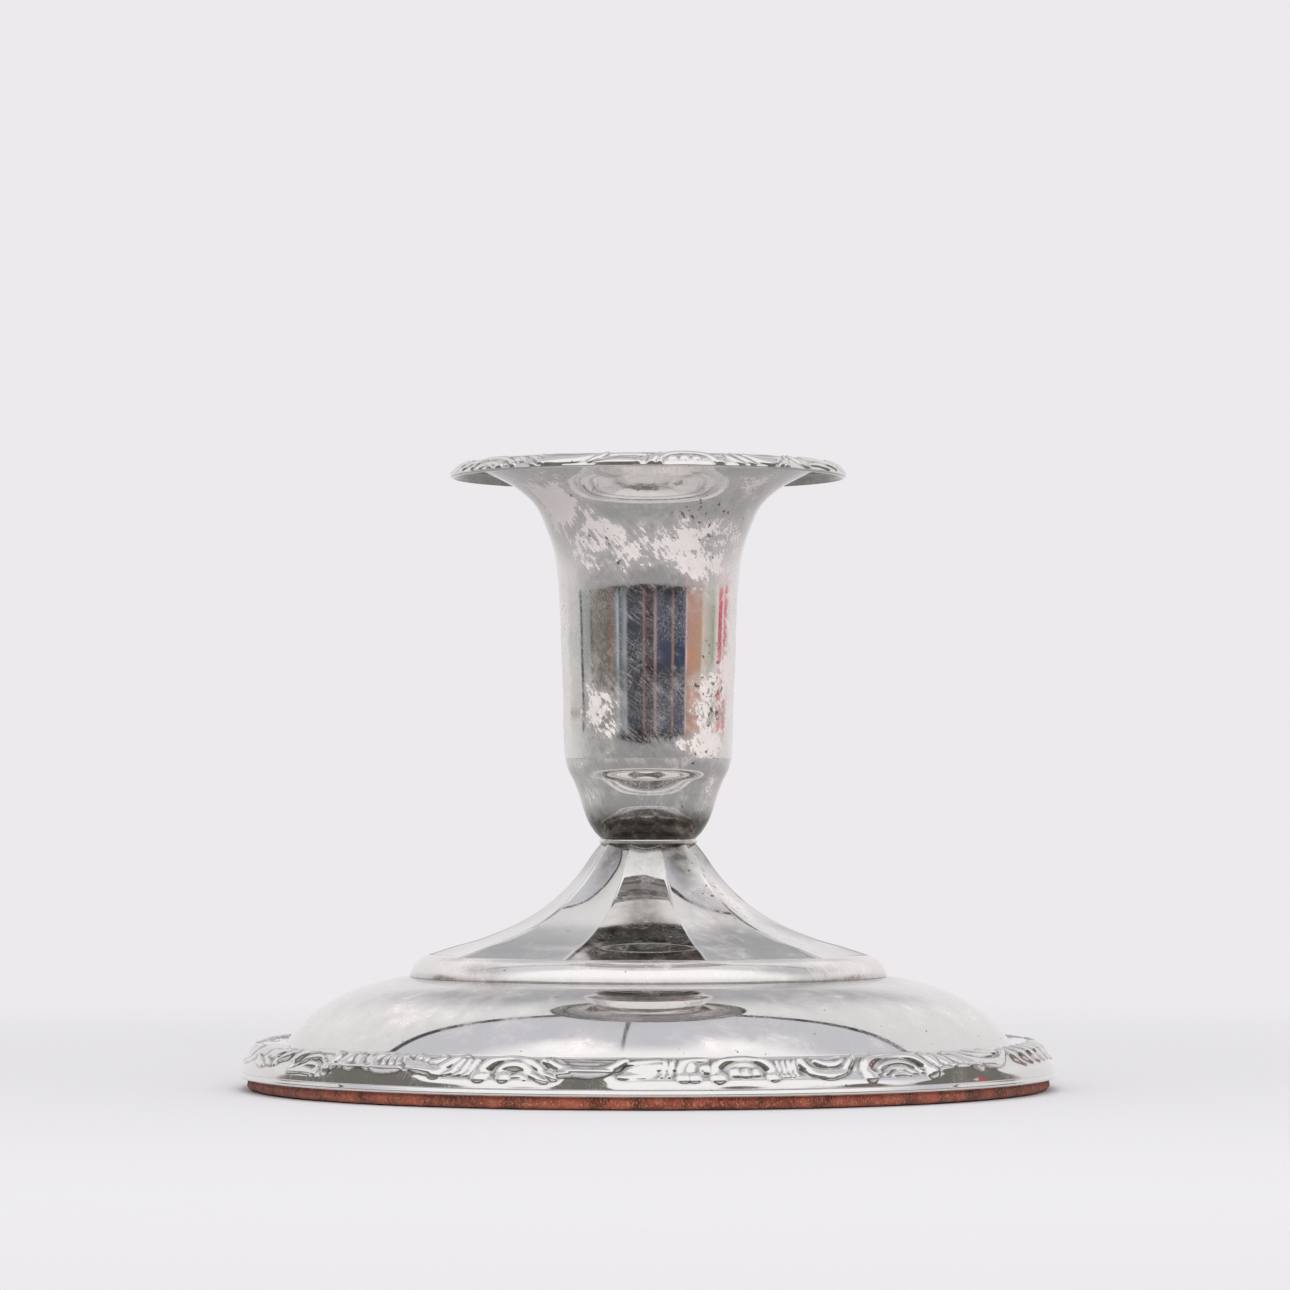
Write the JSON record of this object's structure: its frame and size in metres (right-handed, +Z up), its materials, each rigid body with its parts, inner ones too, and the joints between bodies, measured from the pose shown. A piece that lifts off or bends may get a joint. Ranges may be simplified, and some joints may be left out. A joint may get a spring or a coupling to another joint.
{
  "type": "candlestick",
  "caption": "Low filled candlestick: round foot with a chased scroll border, fluted stem, cup-shaped candle socket flaring into a bordered trumpet mouth.",
  "frame": {"origin": "centre of the felt's underside, on the candlestick's axis", "axes": "+Z up along the axis, out of the candle socket; -Y is the front, and +X is to the right seen from the front"},
  "size_m": [0.115, 0.115, 0.0884],
  "materials": {
    "silver": "polished silver sheet, worn, with a milky haze in patches and light tarnish in the recesses of the borders",
    "steel": "plain zinc-grey steel fixings",
    "felt": "red-brown baize, worn and fuzzy",
    "board": "pressed grey-brown board",
    "filler": "dull dark pitch and plaster fill"
  },
  "bodies": {
    "root": {"felt_pad": "felt", "backing_board": "board", "foot_filler": "filler", "foot_wire": "silver", "foot_border": "silver", "foot_dome": "silver", "step_collar": "silver", "fluted_cone": "silver", "neck_ring": "silver", "socket_bowl": "silver", "socket_floor": "silver", "socket_tube": "silver", "rim_border": "silver", "tie_screw": "steel", "screw_washer": "steel", "clamp_washer": "steel", "clamp_nut": "steel"}
  },
  "joints": []
}
